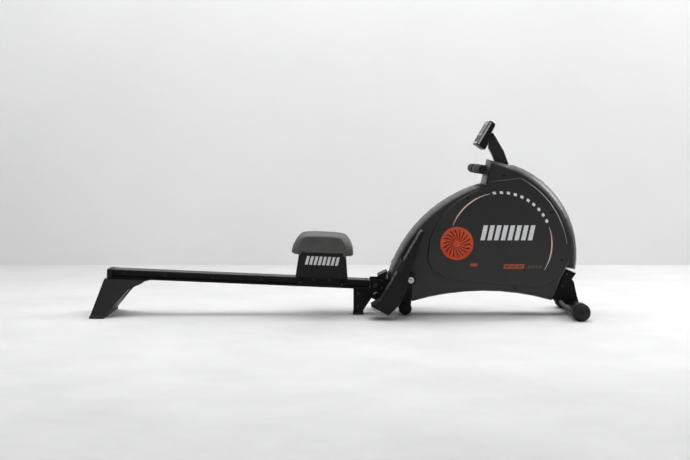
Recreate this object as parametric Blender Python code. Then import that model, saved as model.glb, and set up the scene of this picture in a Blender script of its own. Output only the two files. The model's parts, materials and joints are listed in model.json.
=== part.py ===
"""Folding magnetic rowing machine, in metres, +Z up.

+X points to the flywheel housing, -X to the free end of the rail, and -Y is the user's right hand.
The origin is on the floor, under the middle of the machine.
"""
from math import acos, atan2, cos, degrees, hypot, radians, sin

import bmesh
import bpy

# ---- Driving dimensions ---------------------------------------------------------------------------
GAP = 0.0003                     # clearance that touching pieces keep

RAIL_FRONT = (0.119, 0.131)      # front end of the rail's top line (x, z)
RAIL_SLOPE = radians(2.42)       # the rail falls towards the front
RAIL_LENGTH = 0.972
RAIL_HALF_WIDTH = 0.045
RAIL_HEIGHT = 0.034
GROOVE_DEPTH = 0.019
GROOVE_TOP, GROOVE_BOTTOM = -0.006, -0.028

PIVOT = (0.141, 0.1115)          # fold hinge (x, z)
HINGE_BOLT_R = 0.005
HINGE_PLATE_IN, HINGE_PLATE_OUT = 0.0455, 0.0495

SEAT_U = -0.1825                 # seat centre, measured along the rail from its front end
ROLLER_U = 0.078
ROLLER_N = -0.017
ROLLER_R = 0.0102
CUSHION_HALF_WIDTH = 0.150

HOUSING_HALF = 0.088
WALL = 0.003
RIGHT_ARC = (0.5460, 0.2292, 0.3542)     # centre x, centre z, radius
LEFT_ARC = (0.6787, 0.0010, 0.5145)
BELLY_ARC = (0.5454, -0.8555, 0.9446)
PANEL_RIGHT_ARC = (0.5287, 0.2253, 0.3270)
PANEL_LEFT_ARC = (0.6163, 0.1980, 0.2876)
PANEL_FACE = 0.0905

DRUM = (0.4414, 0.2732)          # belt drum axle, and the vent covers' centre
DRUM_R = 0.035
FLYWHEEL = (0.605, 0.272)
FLYWHEEL_R = 0.125
PULLEY_R, PINION_R = 0.075, 0.020
VENT_R = 0.0635

AXLE = (0.265, 0.148)            # foot plates' axle
AXLE_R = 0.006
PEDAL_IN, PEDAL_OUT = 0.098, 0.215
PLATE_FOOT, PLATE_TOP = (0.1560, 0.0730), (0.3005, 0.3235)   # ends of the foot's face
TUBE = (0.250, 0.0305)           # rear cross tube
TUBE_R = 0.0245

STABILISER = (0.8865, 0.030)
STABILISER_R = 0.024
FOOT_R = 0.0325
WHEEL_R = 0.0275

HANDLE = (0.5245, 0.5500)
IDLER = (0.578, 0.5445)
IDLER_R = 0.008
STRAP_HALF_WIDTH = 0.0125
STRAP_THICK = 0.002

TILT = (0.5765, 0.6765)          # console tilt axis
CONSOLE_FOOT = (0.5132, 0.6436)  # lower end of the console's face
CONSOLE_LEAN = radians(59.5)
CONSOLE_HALF_WIDTH = 0.075
KNOB = (0.625, 0.500)            # tension knob, on the left side of the neck
BRAKE_PIVOT = (0.6908, 0.1697)

RIGHT, LEFT = -1, 1
SIDES = (("right", RIGHT), ("left", LEFT))


# ---- Materials --------------------------------------------------------------------------------------
def finish(name, colour, roughness, metallic=0.0):
    material = bpy.data.materials.new(name)
    material.use_nodes = True
    shader = material.node_tree.nodes["Principled BSDF"]
    shader.inputs["Base Color"].default_value = (*colour, 1.0)
    shader.inputs["Roughness"].default_value = roughness
    shader.inputs["Metallic"].default_value = metallic
    return material


for existing in list(bpy.data.objects):
    bpy.data.objects.remove(existing)

SHELL = finish("shell_plastic", (0.030, 0.029, 0.030), 0.42)
FRAME_PAINT = finish("frame_paint", (0.012, 0.012, 0.013), 0.38, 0.3)
RAIL_PAINT = finish("rail_paint", (0.014, 0.014, 0.015), 0.30, 0.4)
PLASTIC = finish("black_plastic", (0.014, 0.014, 0.014), 0.50)
RUBBER = finish("rubber", (0.020, 0.020, 0.020), 0.80)
FOAM = finish("grip_foam", (0.040, 0.040, 0.042), 0.90)
SEAT_SKIN = finish("seat_skin", (0.055, 0.052, 0.052), 0.55)
ORANGE = finish("orange_plastic", (0.640, 0.075, 0.018), 0.40)
WEBBING = finish("webbing", (0.018, 0.018, 0.018), 0.90)
STEEL = finish("zinc_steel", (0.450, 0.450, 0.440), 0.35, 1.0)
IRON = finish("cast_iron", (0.080, 0.080, 0.082), 0.60, 0.9)
GLASS = finish("display_glass", (0.025, 0.028, 0.030), 0.08)
ROLLER = finish("roller_nylon", (0.050, 0.050, 0.050), 0.45)


# ---- Modelling helpers ------------------------------------------------------------------------------
def arc(circle, start, end, steps):
    """Points on a circle (x, z, radius) from one angle to another, in degrees."""
    x, z, r = circle
    angles = [radians(start + (end - start) * i / steps) for i in range(steps + 1)]
    return [(x + r * cos(a), z + r * sin(a)) for a in angles]


def angle_at(circle, point):
    return degrees(atan2(point[1] - circle[1], point[0] - circle[0]))


def mesh_object(name, bm, material):
    bmesh.ops.recalc_face_normals(bm, faces=bm.faces)
    mesh = bpy.data.meshes.new(name)
    bm.to_mesh(mesh)
    bm.free()
    mesh.materials.append(material)
    made = bpy.data.objects.new(name, mesh)
    bpy.context.collection.objects.link(made)
    return made


def lofted(name, rings, material, closed=False):
    """A solid through rings of equally many points. A closed one joins its last ring to its first."""
    bm = bmesh.new()
    loops = [[bm.verts.new(point) for point in ring] for ring in rings]
    pairs = list(zip(loops, loops[1:]))
    if closed:
        pairs.append((loops[-1], loops[0]))
    else:
        bm.faces.new(loops[0])
        bm.faces.new(loops[-1])
    count = len(loops[0])
    for first, second in pairs:
        for i in range(count):
            j = (i + 1) % count
            bm.faces.new((first[i], first[j], second[j], second[i]))
    return mesh_object(name, bm, material)


def prism(name, outline, y_low, y_high, material):
    """An (x, z) outline extruded along Y."""
    return lofted(name, [[(x, y, z) for x, z in outline] for y in (y_low, y_high)], material)


def side_prism(name, outline, side, inner, outer, material):
    return prism(name, outline, side * inner, side * outer, material)


def block(name, x, y, z, material):
    """A box from its (low, high) pairs."""
    return prism(name, [(x[0], z[0]), (x[1], z[0]), (x[1], z[1]), (x[0], z[1])], y[0], y[1], material)


def turned(name, profile, centre, material, segments=24, closed=False):
    """A profile of (y, radius) turned about a line along Y through centre (x, z)."""
    bm = bmesh.new()
    rings = []
    for y, r in profile:
        turns = [radians(360 * i / segments) for i in range(segments)]
        rings.append([bm.verts.new((centre[0] + r * cos(a), y, centre[1] + r * sin(a))) for a in turns])
    pairs = list(zip(rings, rings[1:]))
    if closed:
        pairs.append((rings[-1], rings[0]))
    else:
        bm.faces.new(rings[0])
        bm.faces.new(rings[-1])
    for first, second in pairs:
        for i in range(segments):
            j = (i + 1) % segments
            bm.faces.new((first[i], first[j], second[j], second[i]))
    made = mesh_object(name, bm, material)
    made.data.shade_smooth()
    made.data.set_sharp_from_angle(angle=radians(40))
    return made


def rod(name, centre, radius, y_low, y_high, material, segments=24):
    return turned(name, [(y_low, radius), (y_high, radius)], centre, material, segments)


def ring(name, centre, inner, outer, y_low, y_high, material, segments=24):
    profile = [(y_low, inner), (y_low, outer), (y_high, outer), (y_high, inner)]
    return turned(name, profile, centre, material, segments, closed=True)


def combine(target, tool, operation):
    """Adds a Boolean to target and hides its tool from the render."""
    tool.hide_render = True
    tool.display_type = "WIRE"
    change = target.modifiers.new(f"{operation.lower()} {tool.name}", "BOOLEAN")
    change.operation = operation
    change.object = tool
    return target


def cut(target, *tools):
    for tool in tools:
        combine(target, tool, "DIFFERENCE")


def join(target, *tools):
    for tool in tools:
        combine(target, tool, "UNION")


def soften(target, width, segments=2, limit=40):
    """A Bevel on every edge sharper than the limit, in degrees."""
    change = target.modifiers.new("soft edges", "BEVEL")
    change.width = width
    change.segments = segments
    change.limit_method = "ANGLE"
    change.angle_limit = radians(limit)
    return target


def inset(outline, distances):
    """The outline moved inwards by one distance per corner, and mitred. It runs counterclockwise."""
    moved = []
    count = len(outline)
    for i, ((x, z), distance) in enumerate(zip(outline, distances)):
        before, after = outline[i - 1], outline[(i + 1) % count]
        ax, az = x - before[0], z - before[1]
        bx, bz = after[0] - x, after[1] - z
        al, bl = hypot(ax, az), hypot(bx, bz)
        nx, nz = -az / al - bz / bl, ax / al + bx / bl
        scale = 2 * distance / (nx * nx + nz * nz)
        moved.append((x + nx * scale, z + nz * scale))
    return moved


def guide(name, location, tilt=0.0, parent=None):
    """An empty that carries the pieces of one moving part."""
    empty = bpy.data.objects.new(name, None)
    bpy.context.collection.objects.link(empty)
    empty.location = location
    empty.rotation_euler = (0.0, tilt, 0.0)
    empty.parent = parent
    return empty


def carry(parent, *pieces):
    for piece in pieces:
        piece.parent = parent


# ---- Main frame -------------------------------------------------------------------------------------
SPINE_Z = (0.104, 0.132)
SPINE_HALF = 0.020
DRIVE_PLATE = (0.046, 0.050)


def main_frame():
    frame = block("main_frame", (0.180, 0.840), (-SPINE_HALF, SPINE_HALF), SPINE_Z, FRAME_PAINT)
    cheeks = [
        (0.119, 0.098), (0.132, 0.088), (0.160, 0.085), (0.190, 0.085), (0.190, 0.1365), (0.119, 0.1365),
    ]
    hinge = prism("hinge_channel", cheeks, -HINGE_PLATE_OUT, HINGE_PLATE_OUT, FRAME_PAINT)
    throat_width = (-HINGE_PLATE_IN, HINGE_PLATE_IN)
    throat = block("hinge_throat", (0.10, 0.1735), throat_width, (0.07, 0.16), FRAME_PAINT)
    cut(hinge, throat)
    hanger = block("tube_hanger", (0.238, 0.262), (-0.016, 0.016), (0.0500, 0.110), FRAME_PAINT)
    plate_outline = [
        (0.400, 0.106), (0.700, 0.106), (0.704, 0.180), (0.655, 0.300), (0.625, 0.470), (0.590, 0.470),
        (0.400, 0.310),
    ]
    plates = [
        side_prism(f"drive_plate_{name}", plate_outline, side, *DRIVE_PLATE, FRAME_PAINT)
        for name, side in SIDES
    ]
    ties = [
        block(f"cross_tie_{i}", (x, x + 0.030), (-0.048, 0.048), (0.1065, 0.1285), FRAME_PAINT)
        for i, x in enumerate((0.410, 0.620))
    ]
    brake_pin = rod("brake_pin", BRAKE_PIVOT, 0.0027, -0.0480, -0.0200, FRAME_PAINT, 12)
    join(frame, hinge, hanger, *plates, *ties, brake_pin)
    bores = [
        rod("pivot_bore", PIVOT, HINGE_BOLT_R + GAP, -0.06, 0.06, FRAME_PAINT, 16),
        rod("drum_axle_bore", DRUM, 0.006 + GAP, -0.06, 0.06, FRAME_PAINT, 16),
        rod("flywheel_axle_bore", FLYWHEEL, 0.006 + GAP, -0.06, 0.06, FRAME_PAINT, 16),
        rod("tube_seat", TUBE, TUBE_R + GAP, -0.03, 0.03, FRAME_PAINT, 24),
    ]
    cut(frame, *bores)


def pivot_bolt():
    head = -HINGE_PLATE_OUT - GAP
    profile = [
        (head - 0.005, 0.006), (head - 0.004, 0.008), (head, 0.008), (head, HINGE_BOLT_R),
        (0.066, HINGE_BOLT_R),
    ]
    turned("pivot_bolt", profile, PIVOT, STEEL, 16)


def fold_knob():
    face = HINGE_PLATE_OUT + GAP
    lobes = 6
    outline = []
    for i in range(lobes * 6):
        turn = radians(360 * i / (lobes * 6))
        reach = 0.0195 + 0.0025 * cos(lobes * turn)
        outline.append((PIVOT[0] + reach * cos(turn), PIVOT[1] + reach * sin(turn)))
    knob = prism("fold_knob", outline, face + 0.004, face + 0.022, PLASTIC)
    join(knob, rod("knob_collar", PIVOT, 0.011, face, face + 0.006, PLASTIC, 24))
    cut(knob, rod("knob_bore", PIVOT, HINGE_BOLT_R + GAP, 0.04, 0.0663, PLASTIC, 16))


def hinge_cover():
    outline = [
        (0.1590, 0.1369), (0.1790, 0.1369), (0.1850, 0.1640), (0.1830, 0.1660), (0.1480, 0.1500),
        (0.1480, 0.1430),
    ]
    soften(prism("hinge_cover", outline, -0.0480, 0.0480, PLASTIC), 0.0015)


def rear_support():
    reach = 0.0925
    tube = turned(
        "rear_support",
        [
            (-0.0965, 0.0150), (-0.0950, 0.0205), (-reach, TUBE_R),
            (reach, TUBE_R), (0.0950, 0.0205), (0.0965, 0.0150),
        ],
        TUBE, FRAME_PAINT, 24,
    )
    tube.data.set_sharp_from_angle(angle=radians(80))
    lean = angle_at((*TUBE, 1.0), AXLE)
    strap = arc((*AXLE, 0.015), lean - 90, lean + 90, 8) + arc((*TUBE, 0.020), lean + 90, lean + 270, 8)
    for name, side in SIDES:
        cheek = side_prism(f"axle_cheek_{name}", strap, side, 0.0886, 0.0922, FRAME_PAINT)
        join(tube, cheek)
    cut(tube, rod("cheek_bore", AXLE, AXLE_R + GAP, -0.10, 0.10, FRAME_PAINT, 16))


def pedal_axle():
    out = PEDAL_OUT + 0.0015
    head = [(out, 0.0110), (out + 0.005, 0.0110), (out + 0.0075, 0.0080), (out + 0.0085, 0.0040)]
    profile = [(-y, r) for y, r in reversed(head)] + [(-out, AXLE_R), (out, AXLE_R)] + head
    turned("pedal_axle", profile, AXLE, STEEL, 20)


# ---- Front stabiliser -------------------------------------------------------------------------------
def front_bracket():
    upper = [
        (0.8110, 0.0560), (0.8400, 0.0575), (0.8480, 0.0880), (0.8787, 0.1390), (0.8915, 0.1578),
        (0.8480, 0.1775), (0.8365, 0.1300), (0.8165, 0.0750),
    ]
    bracket = prism("front_bracket", upper, -0.0600, 0.0600, FRAME_PAINT)
    lower = [
        (0.8390, 0.0590), (0.8560, 0.0400), (0.9085, 0.0400), (0.8985, 0.0740), (0.8865, 0.1262),
        (0.8745, 0.1400), (0.8450, 0.1000),
    ]
    join(bracket, prism("bracket_foot", lower, -0.0450, 0.0450, FRAME_PAINT))
    hollow = block("bracket_hollow", (0.78, 0.8580), (-0.0400, 0.0400), (0.0690, 0.1450), FRAME_PAINT)
    seat = rod("stabiliser_seat", STABILISER, STABILISER_R + GAP, -0.07, 0.07, FRAME_PAINT, 32)
    cut(bracket, hollow, seat)


def stabiliser():
    rod("front_stabiliser", STABILISER, STABILISER_R, -0.2000, 0.2000, FRAME_PAINT, 32)
    rim = arc((*STABILISER, FOOT_R), -67.38, 247.38, 22)
    for name, side in SIDES:
        foot = side_prism(f"foot_cap_{name}", rim, side, 0.1650, 0.2215, RUBBER)
        soften(foot, 0.0015)
        cut(foot, rod(f"foot_socket_{name}", STABILISER, STABILISER_R + GAP, -0.2003, 0.2003, RUBBER, 32))
        centre = (STABILISER[0], STABILISER[1] + 0.0010)
        stub = [(side * 0.2205, 0.0050), (side * 0.2465, 0.0050), (side * 0.2465, 0.0085),
                (side * 0.2500, 0.0070)]
        bolt = turned(f"wheel_stub_{name}", stub, centre, RUBBER, 16)
        join(foot, bolt)
        edge = [(0.2220, 0.0053), (0.2220, 0.0230), (0.2250, WHEEL_R), (0.2430, WHEEL_R), (0.2460, 0.0240),
                (0.2460, 0.0053)]
        turned(f"transport_wheel_{name}", [(side * y, r) for y, r in edge], centre, RUBBER, 28, closed=True)


# ---- Housing ----------------------------------------------------------------------------------------
def housing_outline():
    """The side view, counterclockwise from the lower front corner, and each corner's crown depth."""
    front_corner, shoulder = (0.8925, 0.1690), (0.6600, 0.5646)
    neck_foot, hinge_end = (0.5407, 0.4982), (0.1830, 0.1454)
    heel_x, toe_x = 0.277, 0.802
    belly = [degrees(acos((x - BELLY_ARC[0]) / BELLY_ARC[2])) for x in (heel_x, toe_x)]
    outline = arc(RIGHT_ARC, angle_at(RIGHT_ARC, front_corner), angle_at(RIGHT_ARC, shoulder), 12)
    crown = [0.026 + 0.016 * sin(radians(180 * i / 12)) for i in range(13)]
    outline += [(0.6348, 0.5640), (0.5621, 0.5866), (0.5591, 0.5675), (0.5471, 0.5242)]
    crown += [0.014, 0.010, 0.010, 0.012]
    outline += arc(LEFT_ARC, angle_at(LEFT_ARC, neck_foot), angle_at(LEFT_ARC, hinge_end), 12)
    crown += [0.012 + 0.008 * i / 12 for i in range(13)]
    outline += [(0.1900, 0.1250)]
    outline += arc(BELLY_ARC, belly[0], belly[1], 8)
    outline += [(0.8150, 0.0750), (0.8350, 0.1300), (0.8470, 0.1790)]
    crown += [0.012] * 13
    return outline, crown


def panel_outline():
    """The raised side panel."""
    outline = arc(PANEL_RIGHT_ARC, -3.5, 62.5, 9)
    outline += [(0.5590, 0.5010)] + arc(PANEL_LEFT_ARC, 102.3, 162.1, 9)
    outline += [
        (0.3328, 0.2150), (0.3533, 0.1743), (0.4093, 0.1420), (0.5287, 0.1273), (0.6406, 0.1191),
        (0.7436, 0.1123), (0.7861, 0.1209), (0.8290, 0.1508),
    ]
    return outline


def housing_layers(side, wall):
    """Rings of one shell surface from the seam outwards, crowned towards the flat side."""
    outline, crown = housing_outline()
    reach = HOUSING_HALF - wall - GAP
    layers = []
    for turn in (0, 22, 44, 62, 77, 90):
        moved = inset(outline, [wall + depth * (1 - cos(radians(turn))) for depth in crown])
        layers.append([(x, side * (GAP + reach * sin(radians(turn))), z) for x, z in moved])
    return layers


def housing(name, side):
    outer = housing_layers(side, 0.0)
    inner = housing_layers(side, WALL)
    bm = bmesh.new()
    loops = [[bm.verts.new(p) for p in layer] for layer in reversed(inner)]
    loops += [[bm.verts.new(p) for p in layer] for layer in outer]
    bm.faces.new(loops[0])
    bm.faces.new(loops[-1])
    count = len(loops[0])
    for first, second in zip(loops, loops[1:]):
        for i in range(count):
            j = (i + 1) % count
            bm.faces.new((first[i], first[j], second[j], second[i]))
    shell = mesh_object(f"housing_{name}", bm, SHELL)
    join(shell, side_prism(f"side_panel_{name}", panel_outline(), side, 0.0842, PANEL_FACE, SHELL))
    cut(
        shell,
        block(f"rear_slot_{name}", (0.17, 0.2650), (-0.0520, 0.0520), (0.0500, 0.1500), SHELL),
        block(f"front_slot_{name}", (0.8000, 0.8700), (-0.0450, 0.0450), (0.0700, 0.1400), SHELL),
        block(f"outlet_slot_{name}", (0.53, 0.5640), (-0.0300, 0.0300), (0.5320, 0.5640), SHELL),
        rod(f"vent_hole_{name}", DRUM, 0.0560, side * 0.070, side * 0.100, SHELL, 32),
        rod(f"axle_hole_{name}", AXLE, 0.0080, side * 0.070, side * 0.100, SHELL, 16),
    )
    shell.data.shade_smooth()
    shell.data.set_sharp_from_angle(angle=radians(35))


def vent_cover(name, side):
    lip = PANEL_FACE + GAP
    profile = [
        (0.0800, 0.0500), (0.0800, 0.0555), (lip, 0.0555), (lip, VENT_R), (lip + 0.0020, VENT_R),
        (lip + 0.0030, 0.0610), (lip + 0.0015, 0.0540), (lip + 0.0030, 0.0090), (lip + 0.0010, 0.0090),
        (0.0870, 0.0500),
    ]
    turned(f"vent_cover_{name}", [(side * y, r) for y, r in profile], DRUM, ORANGE, 40, closed=False)


# ---- Drive ------------------------------------------------------------------------------------------
def drive():
    for name, centre in (("drum_axle", DRUM), ("flywheel_axle", FLYWHEEL)):
        turned(
            name,
            [(-0.0550, 0.0100), (-0.0503, 0.0100), (-0.0503, 0.0060), (0.0560, 0.0060)],
            centre, STEEL, 16,
        )
    drum = [
        (-0.0180, 0.0063), (-0.0180, 0.0500), (-0.0155, 0.0500), (-0.0155, DRUM_R), (0.0155, DRUM_R),
        (0.0155, 0.0500), (0.0230, 0.0500), (0.0250, PULLEY_R), (0.0410, PULLEY_R), (0.0410, 0.0200),
        (0.0430, 0.0200), (0.0430, 0.0063),
    ]
    turned("belt_drum", drum, DRUM, PLASTIC, 40, closed=True)
    wheel = [
        (-0.0440, 0.0063), (-0.0440, 0.0230), (-0.0390, 0.0250), (-0.0390, 0.0950), (-0.0440, 0.1000),
        (-0.0440, FLYWHEEL_R), (-0.0240, FLYWHEEL_R), (-0.0240, 0.1000), (-0.0290, 0.0950),
        (-0.0290, 0.0250), (-0.0240, 0.0160), (0.0250, 0.0160), (0.0250, PINION_R), (0.0410, PINION_R),
        (0.0410, 0.0063),
    ]
    turned("flywheel", wheel, FLYWHEEL, IRON, 48, closed=True)
    drive_belt()
    case = ring("spring_case", DRUM, 0.0070, 0.0360, -0.0430, -0.0215, PLASTIC, 32)
    soften(case, 0.001, 1)


def belt_loop(offset):
    """The open belt's path round pulley and pinion, at a distance outside them."""
    dx, dz = FLYWHEEL[0] - DRUM[0], FLYWHEEL[1] - DRUM[1]
    lean = degrees(atan2(dz, dx))
    spread = degrees(acos((PULLEY_R - PINION_R) / hypot(dx, dz)))
    big = arc((*DRUM, PULLEY_R + offset), lean + spread, lean + 360 - spread, 28)
    small = arc((*FLYWHEEL, PINION_R + offset), lean - spread, lean + spread, 10)
    return big + small


def drive_belt():
    inner, outer = belt_loop(0.0008), belt_loop(0.0040)
    rings = [
        [(x, 0.0270, z) for x, z in inner], [(x, 0.0270, z) for x, z in outer],
        [(x, 0.0390, z) for x, z in outer], [(x, 0.0390, z) for x, z in inner],
    ]
    lofted("drive_belt", rings, RUBBER, closed=True)


def magnet_bracket():
    reach = FLYWHEEL_R + 0.0020
    span = arc((*FLYWHEEL, reach), -58, 40, 14) + arc((*FLYWHEEL, reach + 0.0130), 40, -58, 14)
    bracket = prism("magnet_bracket", span, -0.0440, -0.0200, FRAME_PAINT)
    cut(bracket, rod("brake_bore", BRAKE_PIVOT, 0.0030, -0.05, 0.00, FRAME_PAINT, 12))


def pull_strap():
    """The webbing: one length inside from idler to drum, and one outside from idler to handle."""
    wrap, hub = IDLER_R + 0.0005, DRUM_R + 0.0005
    dx, dz = DRUM[0] - IDLER[0], DRUM[1] - IDLER[1]
    lean = atan2(dz, dx) + acos((wrap - hub) / hypot(dx, dz))
    side = (cos(lean), sin(lean))
    start = (IDLER[0] + wrap * side[0], IDLER[1] + wrap * side[1])
    end = (DRUM[0] + hub * side[0], DRUM[1] + hub * side[1])
    outline = [
        start, end,
        (end[0] + STRAP_THICK * side[0], end[1] + STRAP_THICK * side[1]),
        (start[0] + STRAP_THICK * side[0], start[1] + STRAP_THICK * side[1]),
    ]
    prism("strap_inner", outline, -STRAP_HALF_WIDTH, STRAP_HALF_WIDTH, WEBBING)
    low = IDLER[1] + wrap - 0.0002
    block("strap_outer", (HANDLE[0] + 0.0163, IDLER[0] - 0.0040), (-STRAP_HALF_WIDTH, STRAP_HALF_WIDTH),
          (low + GAP, low + GAP + STRAP_THICK - 0.0005), WEBBING)


# ---- Neck, handle and console -----------------------------------------------------------------------
def belt_outlet():
    """The black bezel on the neck, with the slot that the strap runs through and the idler's seat."""
    bezel = block("belt_outlet", (0.5440, 0.5920), (-0.0260, 0.0260), (0.5345, 0.5620), PLASTIC)
    slot = block("outlet_mouth", (0.53, 0.60), (-0.0160, 0.0160), (0.5380, 0.5585), PLASTIC)
    drop = block("idler_drop", (0.5690, 0.60), (-0.0160, 0.0160), (0.5300, 0.5500), PLASTIC)
    cut(bezel, slot, drop, rod("idler_pin_holes", IDLER, 0.0033, -0.0240, 0.0240, PLASTIC, 12))
    profile = [
        (-0.0235, 0.0030), (-0.0157, 0.0030), (-0.0157, 0.0070), (-0.0140, IDLER_R), (0.0140, IDLER_R),
        (0.0157, 0.0070), (0.0157, 0.0030), (0.0235, 0.0030),
    ]
    turned("idler_roller", profile, IDLER, ROLLER, 20)


def handle():
    rod("handle_bar", HANDLE, 0.0115, -0.2050, 0.2050, FRAME_PAINT, 20)
    clamp = ring("handle_clamp", HANDLE, 0.0118, 0.0160, -0.0240, 0.0240, PLASTIC, 24)
    soften(clamp, 0.001, 1)
    for name, side in SIDES:
        profile = [
            (0.0480, 0.0118), (0.0480, 0.0160), (0.0500, 0.0173), (0.2070, 0.0173), (0.2100, 0.0155),
            (0.2100, 0.0118),
        ]
        turned(f"handle_grip_{name}", [(side * y, r) for y, r in profile], HANDLE, FOAM, 24, closed=True)
    for name, side in SIDES:
        profile = [(0.2053, 0.0113), (0.2110, 0.0113), (0.2110, 0.0160), (0.2130, 0.0130)]
        turned(f"bar_plug_{name}", [(side * y, r) for y, r in profile], HANDLE, PLASTIC, 20)


def console_post():
    outline = [
        (0.5893, 0.5788), (0.6348, 0.5650), (0.6425, 0.5653), (0.6231, 0.6173), (0.6010, 0.6550),
        (0.5900, 0.6740),
        *arc((*TILT, 0.0075), 0, 180, 6), (0.5675, 0.6500), (0.5660, 0.6280), (0.5800, 0.6010),
    ]
    post = prism("console_post", outline, -0.0210, 0.0210, PLASTIC)
    soften(post, 0.0070, 4)


def face_point(along, depth):
    """A point on the console: distance up its face, and depth behind it."""
    run, rise = cos(CONSOLE_LEAN), sin(CONSOLE_LEAN)
    return (CONSOLE_FOOT[0] + along * run + depth * rise, CONSOLE_FOOT[1] + along * rise - depth * run)


def face_block(name, along, y, depth, material):
    corners = [(along[0], depth[0]), (along[1], depth[0]), (along[1], depth[1]), (along[0], depth[1])]
    return prism(name, [face_point(*corner) for corner in corners], y[0], y[1], material)


SCREEN_ALONG, SCREEN_HALF = (0.038, 0.092), 0.058
BUTTON_ALONG, BUTTON_HALF = (0.014, 0.026), 0.010


def console():
    half = CONSOLE_HALF_WIDTH
    side_view = [
        (0.0, 0.0), (0.1000, 0.0), (0.1021, 0.0060), (0.1000, 0.0230), (0.0945, 0.0265),
        (0.0600, 0.0285), (0.0200, 0.0390), (-0.0030, 0.0400),
    ]
    case = prism("console_case", [face_point(*p) for p in side_view], -half, half, PLASTIC)
    soften(case, 0.003)
    lug = arc((*TILT, 0.0085), -60, 120, 6) + [face_point(0.068, 0.0250), face_point(0.042, 0.0250)]
    for name, side in SIDES:
        join(case, side_prism(f"console_lug_{name}", lug, side, 0.0214, 0.0290, PLASTIC))
    cut(case, face_block("screen_pocket", (SCREEN_ALONG[0] - GAP, SCREEN_ALONG[1] + GAP),
                         (-SCREEN_HALF - GAP, SCREEN_HALF + GAP), (-0.010, 0.0025), PLASTIC))
    face_block("console_screen", SCREEN_ALONG, (-SCREEN_HALF, SCREEN_HALF), (-0.0002, 0.0022), GLASS)
    for name, y in (("mode", -0.032), ("set", 0.0), ("reset", 0.032)):
        pocket = (y - BUTTON_HALF - 0.0004, y + BUTTON_HALF + 0.0004)
        along = (BUTTON_ALONG[0] - 0.0004, BUTTON_ALONG[1] + 0.0004)
        cut(case, face_block(f"{name}_pocket", along, pocket, (-0.010, 0.0060), PLASTIC))
        cap = face_block(f"button_{name}", BUTTON_ALONG, (y - BUTTON_HALF, y + BUTTON_HALF),
                         (-0.0012, 0.0040), ROLLER)
        soften(cap, 0.0008, 1)


def tension_knob():
    """On the left side of the neck. Its shaft passes through the shell."""
    face = HOUSING_HALF + 0.0005
    outline = []
    for i in range(36):
        turn = radians(10 * i)
        reach = 0.0215 + 0.0010 * cos(12 * turn)
        outline.append((KNOB[0] + reach * cos(turn), KNOB[1] + reach * sin(turn)))
    base = PANEL_FACE + 0.0005
    knob = prism("tension_knob", outline, base, base + 0.0160, PLASTIC)
    join(knob, rod("tension_shaft", KNOB, 0.0040, face - 0.0300, base + 0.0050, PLASTIC, 16))
    shell = bpy.data.objects["housing_left"]
    cut(shell, rod("tension_hole", KNOB, 0.0046, 0.070, 0.100, SHELL, 16))


# ---- Foot plates ------------------------------------------------------------------------------------
def pedal(name, side):
    """One foot plate: a moulded tray with a heel cup, ribbed and open at the back, on the cross axle."""
    outline = [
        (0.1195, 0.0515), (0.1840, 0.0180), (0.2175, 0.0500), (0.2480, 0.1050), (0.2610, 0.1780),
        (0.2760, 0.2075), (0.2870, 0.2370), (0.2940, 0.2660), (0.3130, 0.3200), (0.3090, 0.3280),
        PLATE_TOP, PLATE_FOOT, (0.1480, 0.0690), (0.1300, 0.0580),
    ]
    plate = side_prism(f"pedal_{name}", outline, side, PEDAL_IN, PEDAL_OUT, PLASTIC)
    soften(plate, 0.0025)
    hollow = [
        (0.1880, 0.0320), (0.2500, 0.0500), (0.2900, 0.1500), (0.3200, 0.2850), (0.2900, 0.2880),
        (0.1700, 0.0800), (0.1640, 0.0560),
    ]
    half = (PEDAL_OUT - PEDAL_IN) / 2
    middle = PEDAL_IN + half
    chambers = (("inner", PEDAL_IN + 0.005, middle - 0.003), ("outer", middle + 0.003, PEDAL_OUT - 0.005))
    for place, low, high in chambers:
        cut(plate, side_prism(f"pedal_hollow_{place}_{name}", hollow, side, low, high, PLASTIC))
    boss = rod(f"pedal_boss_{name}", AXLE, 0.0190, side * PEDAL_IN, side * PEDAL_OUT, PLASTIC, 24)
    web = [(0.2300, 0.1000), (0.2650, 0.1300), (0.2650, 0.1660), (0.2480, 0.1800), (0.2250, 0.1300)]
    join(plate, boss)
    for place, y in (("inner", PEDAL_IN), ("middle", middle - 0.003), ("outer", PEDAL_OUT - 0.006)):
        join(plate, side_prism(f"pedal_web_{place}_{name}", web, side, y + 0.0002, y + 0.0058, PLASTIC))
    cut(plate, rod(f"pedal_bore_{name}", AXLE, AXLE_R + GAP, side * 0.09, side * 0.23, PLASTIC, 20))


def foot_strap(name, side):
    """The strap over the instep, flat on the plate. It wraps round both edges of the plate."""
    length = hypot(PLATE_TOP[0] - PLATE_FOOT[0], PLATE_TOP[1] - PLATE_FOOT[1])
    run, rise = (PLATE_TOP[0] - PLATE_FOOT[0]) / length, (PLATE_TOP[1] - PLATE_FOOT[1]) / length

    def on_plate(along, height):
        return (PLATE_FOOT[0] + along * run - height * rise, PLATE_FOOT[1] + along * rise + height * run)

    corners = [(0.118, 0.0006), (0.166, 0.0006), (0.166, 0.0040), (0.118, 0.0040)]
    strap = side_prism(f"foot_strap_{name}", [on_plate(*c) for c in corners], side,
                       PEDAL_IN - 0.0012, PEDAL_OUT + 0.0030, WEBBING)
    soften(strap, 0.0010, 1)


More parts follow.
